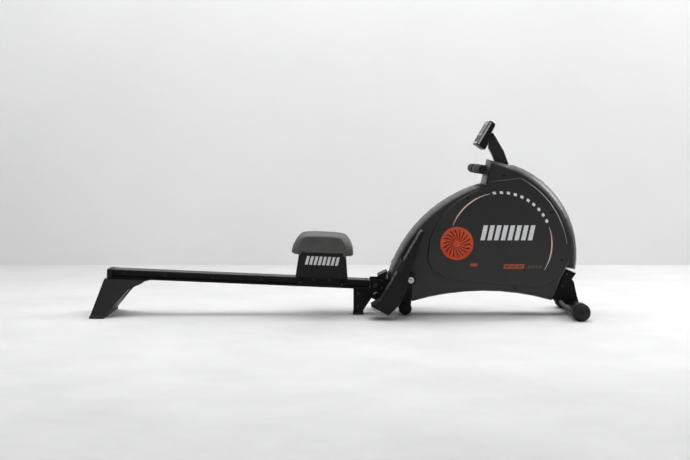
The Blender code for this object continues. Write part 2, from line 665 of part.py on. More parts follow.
# ---- Rail assembly ----------------------------------------------------------------------------------
def rail_assembly():
    line = guide("rail_line", (RAIL_FRONT[0], 0.0, RAIL_FRONT[1]), RAIL_SLOPE)
    width = (-RAIL_HALF_WIDTH, RAIL_HALF_WIDTH)
    rail = block("rail", (-RAIL_LENGTH, 0.0), width, (-RAIL_HEIGHT, 0.0), RAIL_PAINT)
    soften(rail, 0.0015)
    floor = RAIL_HALF_WIDTH - GROOVE_DEPTH
    tools = [
        block(f"groove_{name}", (-RAIL_LENGTH - 0.01, 0.01), tuple(sorted((side * floor, side * 0.06))),
              (GROOVE_BOTTOM, GROOVE_TOP), RAIL_PAINT)
        for name, side in SIDES
    ]
    bore_length = (-RAIL_LENGTH - 0.01, 0.01)
    tools.append(block("rail_bore", bore_length, (-0.0220, 0.0220), (-0.0300, -0.0040), RAIL_PAINT))
    cut(rail, *tools)
    length = (-RAIL_LENGTH - 0.0190, -RAIL_LENGTH - GAP)
    cap = block("rail_end_cap", length, (-0.0465, 0.0465), (-0.0335, 0.0015), PLASTIC)
    soften(cap, 0.004, 3)
    carry(line, rail, *tools, cap)
    return line


def tapered(name, outline, half_low, half_high, z_high, material):
    """An (x, z) outline whose half width in Y goes from half_low at the floor to half_high at z_high."""
    def half(z):
        return half_low + (half_high - half_low) * z / z_high

    return lofted(name, [[(x, s * half(z), z) for x, z in outline] for s in (RIGHT, LEFT)], material)


def rear_leg():
    outline = [
        (-0.9160, 0.0100), (-0.8720, 0.0100), (-0.8620, 0.0120), (-0.7860, 0.1000), (-0.7410, 0.1190),
        (-0.7300, 0.1270), (-0.7125, 0.1315), (-0.8800, 0.1380), (-0.8830, 0.1290),
    ]
    leg = tapered("rear_leg", outline, 0.1600, 0.0500, 0.1380, FRAME_PAINT)
    hollow = [
        (-0.9100, 0.0000), (-0.8760, 0.0000), (-0.8650, 0.0150), (-0.7890, 0.1020), (-0.7700, 0.1150),
        (-0.8780, 0.1300), (-0.8795, 0.1270),
    ]
    cut(leg, tapered("leg_hollow", hollow, 0.1565, 0.0465, 0.1380, FRAME_PAINT))
    rib = [
        (-0.9140, 0.0110), (-0.8730, 0.0110), (-0.8640, 0.0130), (-0.7700, 0.1080), (-0.7600, 0.1200),
        (-0.8800, 0.1320),
    ]
    join(leg, prism("leg_rib", rib, -0.0020, 0.0020, FRAME_PAINT))
    sole = [(-0.9190, 0.0), (-0.8650, 0.0), (-0.8650, 0.0085), (-0.8710, 0.0097), (-0.9175, 0.0097)]
    soften(prism("rear_foot_pad", sole, -0.1600, 0.1600, RUBBER), 0.0015)


def mid_leg():
    tongue = arc((*PIVOT, 0.0175), -60, 110, 8)
    outline = [
        (0.0570, 0.0085), (0.0925, 0.0085), (0.0940, 0.0160), (0.1290, 0.0690), (0.1345, 0.0840),
        *tongue, (0.1200, 0.1270), (0.1200, 0.0962), (0.0570, 0.0989),
    ]
    leg = prism("mid_leg", outline, -0.0350, 0.0350, FRAME_PAINT)
    hollow = [
        (0.0610, 0.0), (0.0890, 0.0), (0.0905, 0.0170), (0.1200, 0.0660), (0.1120, 0.0900),
        (0.0610, 0.0930),
    ]
    cut(leg, prism("mid_leg_hollow", hollow, -0.0310, 0.0310, FRAME_PAINT))
    cut(leg, rod("tongue_bore", PIVOT, HINGE_BOLT_R + GAP, -0.05, 0.05, FRAME_PAINT, 16))
    pad = block("mid_foot_pad", (0.0550, 0.0950), (-0.0370, 0.0370), (0.0, 0.0082), RUBBER)
    soften(pad, 0.0015)


# ---- Seat -------------------------------------------------------------------------------------------
def seat(line):
    """Built round the seat's centre: X along the rail, Z up from the rail's top face."""
    car = guide("seat_line", (SEAT_U, 0.0, 0.0), 0.0, line)
    side_in, side_out = 0.0463, 0.0493
    width = (-side_out, side_out)
    channel = block("seat_carriage", (-0.0860, 0.0860), width, (-0.0270, 0.0340), FRAME_PAINT)
    inside = block("carriage_inside", (-0.10, 0.10), (-side_in, side_in), (-0.04, 0.0310), FRAME_PAINT)
    cut(channel, inside)
    pieces = [channel, inside]
    for end, u in (("rear", -ROLLER_U), ("front", ROLLER_U)):
        for name, side in SIDES:
            stud_profile = [
                (0.0290, 0.0040), (0.0480, 0.0040), (0.0480, 0.0075), (0.0530, 0.0075), (0.0545, 0.0050),
            ]
            stud = turned(f"roller_stud_{end}_{name}", [(side * y, r) for y, r in stud_profile],
                          (u, ROLLER_N), FRAME_PAINT, 12)
            join(channel, stud)
            wheel = [(0.0285, 0.0043), (0.0285, 0.0090), (0.0297, ROLLER_R), (0.0430, ROLLER_R),
                     (0.0442, 0.0090), (0.0442, 0.0043)]
            roller = turned(f"seat_roller_{end}_{name}", [(side * y, r) for y, r in wheel],
                            (u, ROLLER_N), ROLLER, 20, closed=True)
            pieces += [stud, roller]
    skirt = [(-0.0980, 0.0030), (0.0980, 0.0030), (0.0865, 0.1000), (-0.0865, 0.1000)]
    core = [(-0.0945, -0.01), (0.0945, -0.01), (0.0830, 0.0960), (-0.0830, 0.0960)]

    def skirt_half(z):
        return 0.0720 + 0.30 * z

    sides = [[(u, s * skirt_half(n), n) for u, n in skirt] for s in (RIGHT, LEFT)]
    base = lofted("seat_base", sides, PLASTIC)
    well_sides = [[(u, s * (skirt_half(n) - 0.0035), n) for u, n in core] for s in (RIGHT, LEFT)]
    well = lofted("base_well", well_sides, PLASTIC)
    soften(base, 0.004, 2)
    cut(base, well)
    post = block("seat_post", (-0.0550, 0.0550), (-0.0350, 0.0350), (0.0343, 0.0957), STEEL)
    well_2 = block("post_inside", (-0.0520, 0.0520), (-0.0400, 0.0400), (0.0373, 0.0927), STEEL)
    cut(post, well_2)
    half_view = [
        (0.0870, 0.1040), (0.0960, 0.1030), (0.1005, 0.0880), (0.1185, 0.0925), (0.1095, 0.1210),
        (0.1025, 0.1394), (0.0890, 0.1560), (0.0620, 0.1655),
    ]
    view = half_view + [(-u, n) for u, n in reversed(half_view)]
    cushion = lofted("seat_cushion", [
        [(u * k, y, 0.1003 + (n - 0.1003) * h) for u, n in view]
        for y, k, h in (
            (-CUSHION_HALF_WIDTH, 0.86, 0.70), (-0.1400, 0.94, 0.88), (-0.1150, 1.0, 1.0),
            (0.1150, 1.0, 1.0), (0.1400, 0.94, 0.88), (CUSHION_HALF_WIDTH, 0.86, 0.70),
        )
    ], SEAT_SKIN)
    carry(car, *pieces, base, well, post, well_2, cushion)


# ---- Assembly ---------------------------------------------------------------------------------------
main_frame()
pivot_bolt()
fold_knob()
hinge_cover()
rear_support()
pedal_axle()
front_bracket()
stabiliser()
for side_name, side_sign in SIDES:
    housing(side_name, side_sign)
    vent_cover(side_name, side_sign)
    pedal(side_name, side_sign)
    foot_strap(side_name, side_sign)
drive()
magnet_bracket()
pull_strap()
belt_outlet()
handle()
console_post()
console()
tension_knob()
RAIL_LINE = rail_assembly()
rear_leg()
mid_leg()
seat(RAIL_LINE)
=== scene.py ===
"""Looks of the folding rowing machine: materials, graphics, soft goods and small hardware.

Metres, +Z up, +X towards the flywheel housing, -Y on the rower's right. A centre or an outline
in the machine's side view is given as (x, z), and a circle in it as (x, z, radius).
"""

from math import cos, hypot, pi, radians, sin

import bmesh
import bpy
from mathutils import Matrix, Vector
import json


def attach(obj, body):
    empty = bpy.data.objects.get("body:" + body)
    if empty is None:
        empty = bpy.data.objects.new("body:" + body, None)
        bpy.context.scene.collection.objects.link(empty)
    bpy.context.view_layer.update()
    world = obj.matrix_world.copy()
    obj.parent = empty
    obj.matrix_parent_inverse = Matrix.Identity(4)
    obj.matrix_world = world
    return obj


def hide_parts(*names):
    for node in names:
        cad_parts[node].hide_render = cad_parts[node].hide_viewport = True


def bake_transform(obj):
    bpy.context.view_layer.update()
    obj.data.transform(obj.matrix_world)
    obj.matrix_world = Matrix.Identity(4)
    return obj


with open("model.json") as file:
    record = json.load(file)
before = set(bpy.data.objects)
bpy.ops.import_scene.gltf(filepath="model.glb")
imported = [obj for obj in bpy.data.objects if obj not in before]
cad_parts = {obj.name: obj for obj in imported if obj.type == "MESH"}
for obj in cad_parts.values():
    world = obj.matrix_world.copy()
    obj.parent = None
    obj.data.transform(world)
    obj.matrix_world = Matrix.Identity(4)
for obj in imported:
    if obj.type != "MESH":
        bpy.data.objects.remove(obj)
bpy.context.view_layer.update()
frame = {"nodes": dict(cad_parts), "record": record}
for packed in list(bpy.data.materials):
    bpy.data.materials.remove(packed)

FINISHES = {"pivot_bolt": "black_oxide", "console_post": "shell_plastic"}
SIDES = (("right", -1), ("left", 1))

# Housing: how far its faces stand from the middle plane, and the outline of its raised panels.
PANEL_FACE = 0.0905
SHELL_FACE = 0.0880
PANEL_RIGHT_ARC = (0.5287, 0.2253, 0.3270)
PANEL_LEFT_ARC = (0.6163, 0.1980, 0.2876)
PANEL_TOP_CORNER = (0.5590, 0.5010)
PANEL_FOOT = [
    (0.3328, 0.2150), (0.3533, 0.1743), (0.4093, 0.1420), (0.5287, 0.1273), (0.6406, 0.1191),
    (0.7436, 0.1123), (0.7861, 0.1209), (0.8290, 0.1508),
]
# The vent disc's centre, the printed ring, and the screws with the face that each one sits in.
DRUM = (0.4414, 0.2732)
RING = (0.605, 0.272, 0.1906)
SCREWS = (
    ((0.4802, 0.4410), PANEL_FACE), ((0.6145, 0.5261), SHELL_FACE),
    ((0.7925, 0.3896), PANEL_FACE), ((0.8328, 0.2108), PANEL_FACE),
    ((0.6615, 0.1045), SHELL_FACE), ((0.3007, 0.3009), SHELL_FACE),
)

# Rail, seat, foot plates, handle, console and front end.
RAIL_FRONT = (0.119, 0.131)
RAIL_SLOPE = radians(2.42)
SEAT_ALONG_RAIL = -0.1825
PLATE_START, PLATE_END = (0.1560, 0.0730), (0.3005, 0.3235)
HANDLE = (0.5245, 0.5500)
IDLER = (0.578, 0.5445)
CONSOLE_FOOT = (0.5132, 0.6436)
CONSOLE_LEAN = radians(59.5)
WHEEL_AXLE = (0.8865, 0.031)
CROSS_TUBE = (0.250, 0.0305)

# Bolts on both sides: centre, where the head starts across the machine, radius and height.
MID_LEG_BOLTS = (
    ((0.0750, 0.0800), 0.0351, 0.0060, 0.0032), ((0.0750, 0.0300), 0.0351, 0.0050, 0.0028),
)
FRONT_BOLTS = (
    ((0.8560, 0.1560), 0.0601, 0.0060, 0.0035), ((0.8400, 0.1120), 0.0601, 0.0060, 0.0035),
    (WHEEL_AXLE, 0.2465, 0.0065, 0.0035),
)
HINGE_BOLTS = (
    ((0.1640, 0.1000), 0.0496, 0.0048, 0.0028), ((0.1640, 0.1290), 0.0496, 0.0048, 0.0028),
)

# How far behind the machine's middle the wall stands, and the lights: each one's name, place,
# aim, size and power in watts.
WALL_DISTANCE = 2.12
LIGHTS = (
    ("key_light", (3.5, 1.8, 2.4), (0.6, 0.0, 0.4), (1.7, 1.7), 92),
    ("top_light", (-0.2, -1.3, 3.6), (-0.2, -1.3, 0.0), (5.2, 4.0), 88),
    ("wall_light", (-0.5, 0.8, 3.5), (-0.5, WALL_DISTANCE, 1.3), (5.4, 0.8), 84),
    ("side_light", (3.6, -0.6, 2.4), (0.3, 0.0, 0.2), (1.8, 1.8), 15),
    ("front_light", (-0.6, -4.2, 2.8), (0.0, -1.6, 0.0), (3.6, 1.8), 7),
)
# The camera looks along +Y and 3.48 degrees down. Its lens and sensor are in millimetres.
CAMERA_PLACE = (0.025, -5.0, 0.622)
CAMERA_PITCH = radians(90 - 3.48)
CAMERA_LENS = 68.94
CAMERA_SENSOR = 36.0


# ---- Node materials ----------------------------------------------------------------------------
class Surface:
    """A Principled material whose colour, roughness and bump come from procedural nodes."""

    def __init__(self, name, colour, roughness, metallic=0.0, specular=0.5, coat=0.0):
        self.material = bpy.data.materials.new(name)
        self.material.use_nodes = True
        self.tree = self.material.node_tree
        self.shader = self.tree.nodes["Principled BSDF"]
        self.set("Metallic", metallic)
        self.set("Specular IOR Level", specular)
        self.set("Coat Weight", coat)
        self.set("Coat Roughness", 0.2)
        self.set("Base Color", (*colour, 1.0))
        self.set("Roughness", roughness)
        self.coordinates = self.node("ShaderNodeTexCoord").outputs["Object"]
        self.normal = None

    def set(self, socket, value):
        self.shader.inputs[socket].default_value = value

    def node(self, kind, **inputs):
        made = self.tree.nodes.new(kind)
        for name, value in inputs.items():
            made.inputs[name.replace("_", " ")].default_value = value
        return made

    def link(self, source, target):
        self.tree.links.new(source, target)

    def placed(self, stretch=(1.0, 1.0, 1.0)):
        mapping = self.node("ShaderNodeMapping", Scale=stretch)
        self.link(self.coordinates, mapping.inputs["Vector"])
        return mapping.outputs["Vector"]

    def noise(self, scale, detail=3.0, rough=0.55, stretch=(1.0, 1.0, 1.0)):
        made = self.node("ShaderNodeTexNoise", Scale=scale, Detail=detail, Roughness=rough)
        self.link(self.placed(stretch), made.inputs["Vector"])
        return made.outputs["Fac"]

    def cells(self, scale):
        made = self.node("ShaderNodeTexVoronoi", Scale=scale)
        self.link(self.placed(), made.inputs["Vector"])
        return made.outputs["Distance"]

    def waves(self, scale, direction):
        made = self.node("ShaderNodeTexWave", Scale=scale)
        made.bands_direction = direction
        self.link(self.placed(), made.inputs["Vector"])
        return made.outputs["Fac"]

    def ramp(self, fac, low, high, start=0.3, end=0.7):
        made = self.node("ShaderNodeValToRGB")
        made.color_ramp.elements[0].position = start
        made.color_ramp.elements[0].color = (*low, 1.0)
        made.color_ramp.elements[1].position = end
        made.color_ramp.elements[1].color = (*high, 1.0)
        self.link(fac, made.inputs["Fac"])
        return made.outputs["Color"]

    def tone(self, fac, low, high, start=0.3, end=0.7):
        self.link(self.ramp(fac, low, high, start, end), self.shader.inputs["Base Color"])
        return self

    def gloss(self, fac, low, high):
        made = self.node("ShaderNodeMapRange", From_Min=0.3, From_Max=0.7, To_Min=low, To_Max=high)
        self.link(fac, made.inputs["Value"])
        self.link(made.outputs["Result"], self.shader.inputs["Roughness"])
        return self

    def bump(self, height, strength, distance):
        """Adds one more layer of bump over the layers that are there."""
        made = self.node("ShaderNodeBump", Strength=strength, Distance=distance)
        self.link(height, made.inputs["Height"])
        if self.normal is not None:
            self.link(self.normal, made.inputs["Normal"])
        self.normal = made.outputs["Normal"]
        self.link(self.normal, self.shader.inputs["Normal"])
        return self


def shade(value, warmth=0.0):
    """A grey, a little warmer or cooler than neutral."""
    return (value * (1 + warmth), value, value * (1 - warmth))


def moulded(name, value, roughness, grain=900.0, warmth=0.02):
    """Moulded plastic: faint cloudiness, a spark-eroded grain and slow waviness."""
    made = Surface(name, shade(value, warmth), roughness)
    made.tone(made.noise(9.0, 4.0), shade(value * 0.84, warmth), shade(value * 1.16, warmth))
    made.gloss(made.noise(60.0), roughness - 0.05, roughness + 0.07)
    made.bump(made.noise(7.0, 1.0), strength=0.06, distance=0.002)
    return made.bump(made.noise(grain, 2.0), strength=0.16, distance=0.0003)


def shell_plastic():
    made = moulded("shell_plastic", 0.015, 0.36, 700.0, 0.03)
    made.set("Specular IOR Level", 0.55)
    return made


def black_plastic():
    made = moulded("black_plastic", 0.0075, 0.46)
    made.set("Specular IOR Level", 0.22)
    return made


def orange_plastic():
    made = Surface("orange_plastic", (0.62, 0.062, 0.016), 0.36)
    made.tone(made.noise(30.0), (0.54, 0.050, 0.013), (0.68, 0.074, 0.020))
    made.gloss(made.noise(70.0), 0.30, 0.46)
    return made.bump(made.noise(900.0, 2.0), strength=0.15, distance=0.0003)


def frame_paint():
    """Powder-coated steel: orange peel over a slightly uneven film."""
    value, roughness = 0.006, 0.42
    made = Surface("frame_paint", shade(value), roughness, specular=0.15)
    made.tone(made.noise(14.0, 4.0), shade(value * 0.75), shade(value * 1.35))
    made.gloss(made.noise(35.0, 4.0), roughness - 0.06, roughness + 0.08)
    return made.bump(made.noise(420.0, 2.0), strength=0.22, distance=0.0004)


def rail_paint():
    """Painted rail, faintly streaked along its length by the seat rollers."""
    made = Surface("rail_paint", shade(0.007), 0.34, specular=0.20)
    made.tone(made.noise(5.0, 4.0, stretch=(0.25, 1.0, 1.0)), shade(0.005), shade(0.010))
    made.gloss(made.noise(90.0, 4.0, stretch=(0.04, 1.0, 1.0)), 0.30, 0.46)
    streaks = made.noise(260.0, 2.0, stretch=(0.03, 1.0, 1.0))
    return made.bump(streaks, strength=0.10, distance=0.0003)


def zinc_steel():
    value, roughness = 0.52, 0.28
    made = Surface("zinc_steel", shade(value, 0.01), roughness, metallic=1.0)
    made.tone(made.noise(50.0, 5.0), shade(value * 0.8, 0.02), shade(value * 1.1, 0.01))
    made.gloss(made.noise(400.0), roughness - 0.08, roughness + 0.12)
    return made.bump(made.noise(700.0, 2.0), strength=0.12, distance=0.0002)


def black_oxide():
    made = Surface("black_oxide", shade(0.050), 0.42, metallic=0.9)
    made.tone(made.noise(70.0, 4.0), shade(0.036), shade(0.066))
    made.gloss(made.noise(300.0), 0.34, 0.52)
    return made.bump(made.noise(600.0, 2.0), strength=0.15, distance=0.0002)


def cast_iron():
    made = Surface("cast_iron", shade(0.10), 0.5, metallic=0.9)
    made.tone(made.noise(40.0, 5.0), shade(0.06), shade(0.13))
    made.gloss(made.noise(200.0), 0.40, 0.65)
    return made.bump(made.noise(300.0, 4.0), strength=0.3, distance=0.0005)


def seat_skin():
    """Integral-skin foam: soft leather grain, slightly dusty."""
    made = Surface("seat_skin", shade(0.066, 0.03), 0.55)
    made.tone(made.noise(22.0, 5.0), shade(0.052, 0.03), shade(0.082, 0.03))
    made.gloss(made.noise(80.0), 0.46, 0.62)
    made.bump(made.noise(26.0, 2.0), strength=0.10, distance=0.002)
    return made.bump(made.cells(620.0), strength=0.35, distance=0.0005)


def grip_foam():
    made = Surface("grip_foam", shade(0.030), 0.88, specular=0.3)
    made.tone(made.noise(120.0, 4.0), shade(0.021), shade(0.042))
    made.bump(made.noise(60.0, 2.0), strength=0.15, distance=0.001)
    return made.bump(made.cells(1500.0), strength=0.5, distance=0.0005)


def rubber():
    made = Surface("rubber", shade(0.014), 0.70, specular=0.4)
    made.tone(made.noise(30.0, 5.0), shade(0.010), shade(0.021))
    made.gloss(made.noise(45.0), 0.60, 0.82)
    return made.bump(made.noise(600.0, 2.0), strength=0.3, distance=0.0004)


def webbing():
    """Woven strap: two crossing sets of ribs."""
    made = Surface("webbing", shade(0.014), 0.80, specular=0.3)
    made.tone(made.noise(300.0), shade(0.009), shade(0.022))
    made.bump(made.waves(330.0, "Y"), strength=0.5, distance=0.0004)
    return made.bump(made.waves(230.0, "Z"), strength=0.5, distance=0.0004)


def print_ink(name, low, high, roughness=0.45):
    """Screen-printed ink, slightly worn."""
    made = Surface(name, high, roughness)
    made.tone(made.noise(160.0, 5.0, 0.7), low, high, 0.25, 0.5)
    made.gloss(made.noise(90.0), roughness - 0.05, roughness + 0.12)
    return made.bump(made.noise(500.0, 2.0), strength=0.08, distance=0.0002)


def display_glass():
    made = Surface("display_glass", (0.030, 0.034, 0.036), 0.06, coat=0.6)
    made.tone(made.noise(12.0), (0.024, 0.028, 0.030), (0.036, 0.040, 0.042))
    return made.gloss(made.noise(25.0), 0.04, 0.10)


def floor_paint():
    """Worn, pale painted concrete, with painted shade darkening it towards the wall."""
    made = Surface("floor_paint", shade(0.80), 0.60, specular=0.15)
    paint = made.ramp(made.noise(2.2, 8.0, 0.65), shade(0.73), shade(0.89), 0.2, 0.75)
    place = made.node("ShaderNodeSeparateXYZ")
    # Painted shade: the floor's colour falls to 0.78 of itself from y = -1 back to y = 1.4,
    # towards the wall.
    towards_wall = made.node(
        "ShaderNodeMapRange", From_Min=-1.0, From_Max=1.4, To_Min=1.0, To_Max=0.78)
    painted_shade = made.node("ShaderNodeVectorMath")
    painted_shade.operation = "SCALE"
    made.link(made.coordinates, place.inputs["Vector"])
    made.link(place.outputs["Y"], towards_wall.inputs["Value"])
    made.link(paint, painted_shade.inputs[0])
    made.link(towards_wall.outputs["Result"], painted_shade.inputs["Scale"])
    made.link(painted_shade.outputs["Vector"], made.shader.inputs["Base Color"])
    made.gloss(made.noise(5.0, 6.0), 0.50, 0.75)
    return made.bump(made.noise(60.0, 4.0), strength=0.05, distance=0.002)


def wall_paint():
    """A painted wall, clear on its back so that it never stands before the machine."""
    made = Surface("wall_paint", shade(0.86), 0.8, specular=0.2)
    made.tone(made.noise(1.1, 5.0), shade(0.82), shade(0.86))
    mix = made.node("ShaderNodeMixShader")
    made.link(made.node("ShaderNodeNewGeometry").outputs["Backfacing"], mix.inputs["Fac"])
    made.link(made.shader.outputs["BSDF"], mix.inputs[1])
    made.link(made.node("ShaderNodeBsdfTransparent").outputs["BSDF"], mix.inputs[2])
    made.link(mix.outputs["Shader"], made.tree.nodes["Material Output"].inputs["Surface"])
    return made


SURFACES = {
    made.material.name: made.material
    for made in (
        shell_plastic(), frame_paint(), rail_paint(), black_plastic(), black_oxide(), rubber(),
        grip_foam(), seat_skin(), orange_plastic(), webbing(), zinc_steel(), cast_iron(),
        display_glass(), floor_paint(), wall_paint(),
        moulded("roller_nylon", 0.035, 0.42), moulded("trim_silver", 0.40, 0.30),
        # The first material on the next line is a light grey used as a painted highlight on the
        # panel's edge.
        # The second material on the next line is a near-black used as painted shade behind the
        # vent slots and in the screw wells.
        moulded("painted_highlight_grey", 0.42, 0.30), moulded("shade_black", 0.004, 0.80),
        print_ink("ink_white", (0.66, 0.66, 0.67), (0.83, 0.83, 0.84)),
        print_ink("ink_orange", (0.36, 0.050, 0.018), (0.50, 0.070, 0.024)),
        print_ink("ink_tan", (0.060, 0.040, 0.030), (0.095, 0.062, 0.046)),
        print_ink("lcd_ground", (0.050, 0.056, 0.052), (0.066, 0.072, 0.066), 0.30),
        print_ink("lcd_ink", (0.008, 0.009, 0.009), (0.012, 0.013, 0.012), 0.30),
    )
}


# ---- Mesh helpers ------------------------------------------------------------------------------
def arc(circle, start, end, steps):
    """Points along a circle, from one angle to another, in degrees."""
    x, z, r = circle
    angles = [radians(start + (end - start) * i / steps) for i in range(steps + 1)]
    return [(x + r * cos(a), z + r * sin(a)) for a in angles]


def full_turn(segments):
    return [radians(360 * i / segments) for i in range(segments)]


def finished(name, bm, material, body, smooth=35.0):
    """The mesh as a piece that rides on a body, with its material."""
    bmesh.ops.recalc_face_normals(bm, faces=bm.faces)
    mesh = bpy.data.meshes.new(name)
    bm.to_mesh(mesh)
    bm.free()
    mesh.materials.append(SURFACES[material])
    made = bpy.data.objects.new(name, mesh)
    bpy.context.collection.objects.link(made)
    mesh.shade_smooth()
    mesh.set_sharp_from_angle(angle=radians(smooth))
    if body:
        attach(made, body)
    return made


def add_loft(bm, rings, closed=False):
    """A skin over rings of points: capped at both ends, or closed into a loop."""
    loops = [[bm.verts.new(point) for point in ring] for ring in rings]
    pairs = list(zip(loops, loops[1:]))
    if closed:
        pairs.append((loops[-1], loops[0]))
    else:
        bm.faces.new(loops[0])
        bm.faces.new(loops[-1])
    count = len(loops[0])
    for first, second in pairs:
        for i in range(count):
            j = (i + 1) % count
            bm.faces.new((first[i], first[j], second[j], second[i]))


def add_slab(bm, outline, y_low, y_high):
    """A side-view outline given thickness across the machine."""
    add_loft(bm, [[(x, y, z) for x, z in outline] for y in (y_low, y_high)])


def add_turned(bm, profile, centre, side, segments, closed=False):
    """A (y, radius) profile on one side of the machine, turned about a line across it."""
    rings = []
    for y, r in profile:
        turns = full_turn(segments)
        rings.append([(centre[0] + r * cos(a), side * y, centre[1] + r * sin(a)) for a in turns])
    add_loft(bm, rings, closed)


def add_upright(bm, profile, centre, segments):
    """A (height, radius) profile turned about a vertical line."""
    x, y, z = centre
    turns = full_turn(segments)
    add_loft(bm, [[(x + r * cos(a), y + r * sin(a), z + h) for a in turns] for h, r in profile])


def add_bolt(bm, centre, side, base, radius, height):
    """A button-head screw with a sunk middle, pointing out along Y."""
    profile = [
        (base, radius), (base + height * 0.45, radius), (base + height, radius * 0.68),
        (base + height, radius * 0.42), (base + height * 0.45, radius * 0.40),
    ]
    add_turned(bm, profile, centre, side, 18)


def bolt_set(name, bolts, body):
    bm = bmesh.new()
    for _, side in SIDES:
        for centre, base, radius, height in bolts:
            add_bolt(bm, centre, side, base, radius, height)
    finished(name, bm, "black_oxide", body)


def soften(piece, width, segments=2):
    """Rounds the edges where faces meet at more than 35 degrees."""
    change = piece.modifiers.new("soft edges", "BEVEL")
    change.width = width
    change.segments = segments
    change.limit_method = "ANGLE"
    change.angle_limit = radians(35)
    change.harden_normals = True
    return piece


def apply_modifiers(piece):
    graph = bpy.context.evaluated_depsgraph_get()
    done = bpy.data.meshes.new_from_object(piece.evaluated_get(graph))
    piece.modifiers.clear()
    piece.data = done


def dress_nodes():
    """Gives every CAD node its material."""
    slots = {item["node"]: item["material_slot"] for item in frame["record"]["subparts"]}
    for name, node in frame["nodes"].items():
        node.data.materials.clear()
        node.data.materials.append(SURFACES[FINISHES.get(name, slots[name])])


# ---- Side graphics -----------------------------------------------------------------------------
def slanted(x, z, width, height):
    """A bar from its lower left corner, leaning forward."""
    lean = 0.22 * height
    return [(x, z), (x + width, z), (x + width + lean, z + height), (x + lean, z + height)]


def add_tapered_arc(bm, circle, start, end, y_low, y_high, width):
    """An arc whose width swells from a quarter to the full at its middle, and back."""
    x, z, r = circle
    steps = 28
    inside, outside = [], []
    for i in range(steps + 1):
        share = i / steps
        turn = radians(start + (end - start) * share)
        half = width * (0.25 + 0.75 * sin(pi * share)) / 2
        outside.append((x + (r + half) * cos(turn), z + (r + half) * sin(turn)))
        inside.append((x + (r - half) * cos(turn), z + (r - half) * sin(turn)))
    for i in range(steps):
        add_slab(bm, [inside[i], inside[i + 1], outside[i + 1], outside[i]], y_low, y_high)
    bmesh.ops.remove_doubles(bm, verts=bm.verts, dist=0.00001)


def panel_outline():
    outline = arc(PANEL_RIGHT_ARC, -3.5, 62.5, 22) + [PANEL_TOP_CORNER]
    return outline + arc(PANEL_LEFT_ARC, 102.3, 162.1, 22) + PANEL_FOOT


def widened(outline, distance):
    """A counterclockwise outline moved outwards, with mitred corners."""
    moved = []
    for i, (x, z) in enumerate(outline):
        before, after = outline[i - 1], outline[(i + 1) % len(outline)]
        ax, az = x - before[0], z - before[1]
        bx, bz = after[0] - x, after[1] - z
        al, bl = hypot(ax, az), hypot(bx, bz)
        nx, nz = az / al + bz / bl, -ax / al - bx / bl
        scale = 2 * distance / (nx * nx + nz * nz)
        moved.append((x + nx * scale, z + nz * scale))
    return moved


def panel_edge(name, side):
    """The chamfered edge that rims the raised panel, and a painted highlight strip along its
    right.
    """
    section = (  # distance outside the panel's outline, height over its face
        (0.0054, -0.0056), (0.0010, 0.0003), (-0.0004, 0.0009), (-0.0022, 0.0009),
        (-0.0034, -0.0003),
    )
    rings = []
    for reach, lift in section:
        y = side * (PANEL_FACE + lift)
        rings.append([(x, y, z) for x, z in widened(panel_outline(), reach)])
    rim = bmesh.new()
    add_loft(rim, rings, closed=True)
    finished(f"panel_edge_{name}", rim, "shell_plastic", "frame", 50.0)
    # Painted highlight: a thin light grey strip on the right arc that stands in for light glinting
    # on the panel's edge.
    painted_glint = bmesh.new()
    x, z, r = PANEL_RIGHT_ARC
    faces = side * (PANEL_FACE + 0.0007), side * (PANEL_FACE + 0.0012)
    add_tapered_arc(painted_glint, (x, z, r - 0.0006), 62, 8, *faces, 0.0030)
    finished(f"panel_painted_glint_{name}", painted_glint, "painted_highlight_grey", "frame")


def side_graphics(name, side):
    """Arcs, dashes and plain slanted bars, printed on the raised panel."""
    low, high, upper = (side * (PANEL_FACE + lift) for lift in (0.00008, 0.00028, 0.00040))
    x, z, r = RING
    white = bmesh.new()
    for turns in ((159, 102), (19, -31)):
        add_tapered_arc(white, RING, *turns, low, high, 0.0034)
    dash = ((1.6, -0.0050), (-2.0, -0.0050), (-1.4, 0.0050), (2.2, 0.0050))
    for i in range(10):
        centre = 97.5 - i * 7.9
        corners = [(radians(centre + turn), r + reach) for turn, reach in dash]
        add_slab(white, [(x + rr * cos(a), z + rr * sin(a)) for a, rr in corners], low, high)
    for i in range(8):
        add_slab(white, slanted(0.5290 + i * 0.0252, 0.2850, 0.0165, 0.0560), low, high)
    finished(f"side_print_white_{name}", white, "ink_white", "frame")
    orange = bmesh.new()
    for turns in ((158, 112), (16, -22)):
        add_tapered_arc(orange, (x, z, r + 0.0036), *turns, low, high, 0.0026)
    add_slab(orange, slanted(0.6145, 0.1785, 0.076, 0.0175), low, high)
    add_slab(orange, slanted(0.4920, 0.1880, 0.026, 0.0110), low, high)
    finished(f"side_print_orange_{name}", orange, "ink_orange", "frame")
    tan = bmesh.new()
    for i in range(4):
        add_slab(tan, slanted(0.7060 + i * 0.0135, 0.1795, 0.0100, 0.0120), low, high)
    for i in range(3):
        add_slab(tan, slanted(0.6190 + i * 0.024, 0.1830, 0.0180, 0.0080), high, upper)
    finished(f"side_print_tan_{name}", tan, "ink_tan", "frame")


def housing_screws(name, side):
    """Countersunk screws in wells whose near-black colour is painted shade."""
    wells = bmesh.new()
    heads = bmesh.new()
    for centre, face in SCREWS:
        rim = [
            (face - 0.001, 0.0050), (face + 0.0006, 0.0050), (face + 0.0006, 0.0044),
            (face - 0.0008, 0.0040),
        ]
        add_turned(wells, rim, centre, side, 20, closed=True)
        floor = [(face - 0.0005, 0.0041), (face + 0.00012, 0.0041)]
        add_turned(wells, floor, centre, side, 20)
        head = [(face + 0.0001, 0.0024), (face + 0.0005, 0.0024), (face + 0.0006, 0.0018)]
        add_turned(heads, head, centre, side, 16)
    finished(f"screw_wells_{name}", wells, "shade_black", "frame")
    finished(f"screw_heads_{name}", heads, "black_plastic", "frame")


